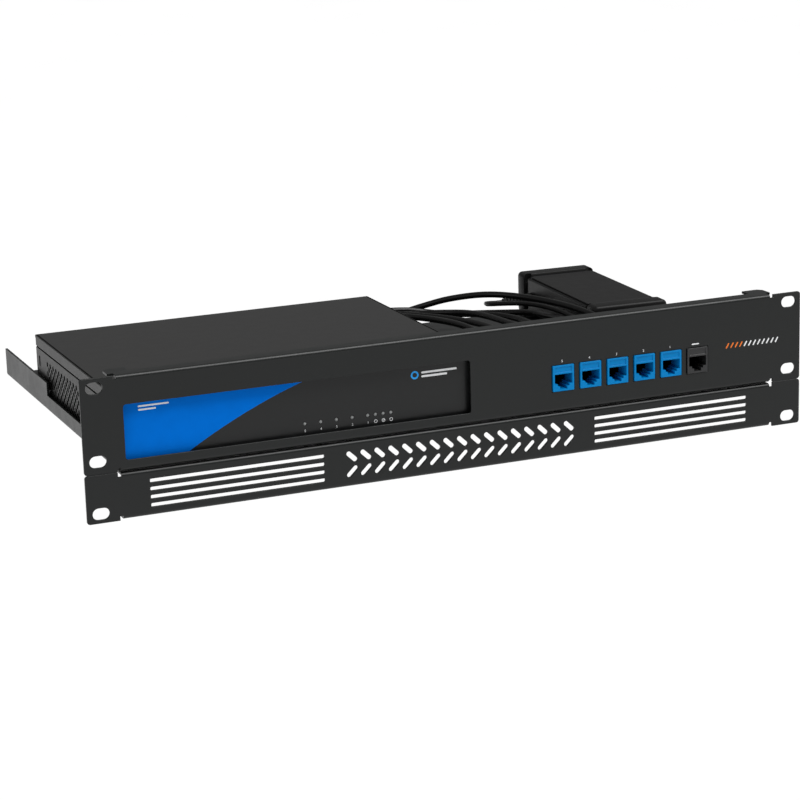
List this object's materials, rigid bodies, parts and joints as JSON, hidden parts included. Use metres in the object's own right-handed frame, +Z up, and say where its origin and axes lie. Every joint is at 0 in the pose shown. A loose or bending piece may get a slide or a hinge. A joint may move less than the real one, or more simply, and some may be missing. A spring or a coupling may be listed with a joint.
{
  "type": "rack-mounted desktop firewall appliance",
  "caption": "Desktop firewall box carried in a bent-steel 19-inch rack tray, with blue front couplers, patch leads, power adapter and a vented filler panel.",
  "frame": {"origin": "on the rack rails' front plane, midway between the ears, at the bottom line of the two-unit space", "axes": "+X to the right as seen from the front, +Y to the rear of the rack, +Z up"},
  "size_m": [0.4826, 0.2666, 0.088],
  "materials": {
    "black_powder_steel": "fine matt black powder coat",
    "device_case_steel": "dark grey fine-texture paint",
    "faceplate_film": "smooth black front with a printed blue corner field",
    "clear_plastic": "clear moulded light pipes",
    "black_coupler": "moulded black",
    "blue_coupler": "moulded bright blue",
    "black_plug_plastic": "moulded black",
    "lead_jacket": "black jacket with a faint sheen",
    "jack_shield_steel": "tinned shield",
    "zinc_screws": "zinc plated",
    "black_rubber": "soft matt",
    "circuit_board": "green solder mask",
    "adapter_board": "tan board",
    "heat_sink_aluminium": "dark anodised",
    "adapter_plastic": "fine-textured black housing",
    "black_plastic": "moulded black"
  },
  "bodies": {
    "chassis": {"adapter_board": "adapter_board", "adapter_front_cap": "adapter_plastic", "adapter_inlet": "adapter_plastic", "adapter_pad": "black_rubber", "adapter_rear_cap": "adapter_plastic", "adapter_sleeve": "adapter_plastic", "circuit_board": "circuit_board", "console_jack": "jack_shield_steel", "coupler_1": "blue_coupler", "coupler_2": "blue_coupler", "coupler_3": "blue_coupler", "coupler_4": "blue_coupler", "coupler_5": "blue_coupler", "coupler_console": "black_coupler", "coupler_plug_1": "black_plug_plastic", "coupler_plug_2": "black_plug_plastic", "coupler_plug_3": "black_plug_plastic", "coupler_plug_4": "black_plug_plastic", "coupler_plug_5": "black_plug_plastic", "coupler_plug_console": "black_plug_plastic", "dc_jack": "black_plastic", "dc_lead": "lead_jacket", "dc_plug": "black_plug_plastic", "dc_relief": "black_rubber", "device_base": "device_case_steel", "device_faceplate": "faceplate_film", "device_lid": "device_case_steel", "device_plug_1": "black_plug_plastic", "device_plug_2": "black_plug_plastic", "device_plug_3": "black_plug_plastic", "device_plug_4": "black_plug_plastic", "device_plug_5": "black_plug_plastic", "device_plug_console": "black_plug_plastic", "device_rear_panel": "device_case_steel", "foot_front_left": "black_rubber", "foot_front_right": "black_rubber", "foot_rear_left": "black_rubber", "foot_rear_right": "black_rubber", "heat_sink": "heat_sink_aluminium", "lan_jack_block": "jack_shield_steel", "lid_screw_left": "zinc_screws", "lid_screw_right": "zinc_screws", "light_pipe": "clear_plastic", "lower_vent_panel": "black_powder_steel", "patch_lead_1": "lead_jacket", "patch_lead_2": "lead_jacket", "patch_lead_3": "lead_jacket", "patch_lead_4": "lead_jacket", "patch_lead_5": "lead_jacket", "patch_lead_console": "lead_jacket", "power_switch": "black_plastic", "rack_tray": "black_powder_steel", "rear_bracket": "black_powder_steel", "rear_bracket_screw": "zinc_screws", "reset_switch": "black_plastic", "side_bracket": "black_powder_steel", "side_bracket_screw": "zinc_screws", "usb_socket": "jack_shield_steel"},
    "power_button": {"power_button": "black_plastic"},
    "reset_button": {"reset_button": "black_plastic"}
  },
  "joints": [
    {"name": "power_press", "type": "slide", "parent": "chassis", "child": "power_button", "axis": [0, -1, 0], "range_m": [0, 0.0014], "stiffness_N_per_m": 400},
    {"name": "reset_press", "type": "slide", "parent": "chassis", "child": "reset_button", "axis": [0, -1, 0], "range_m": [0, 0.0008], "stiffness_N_per_m": 400}
  ]
}
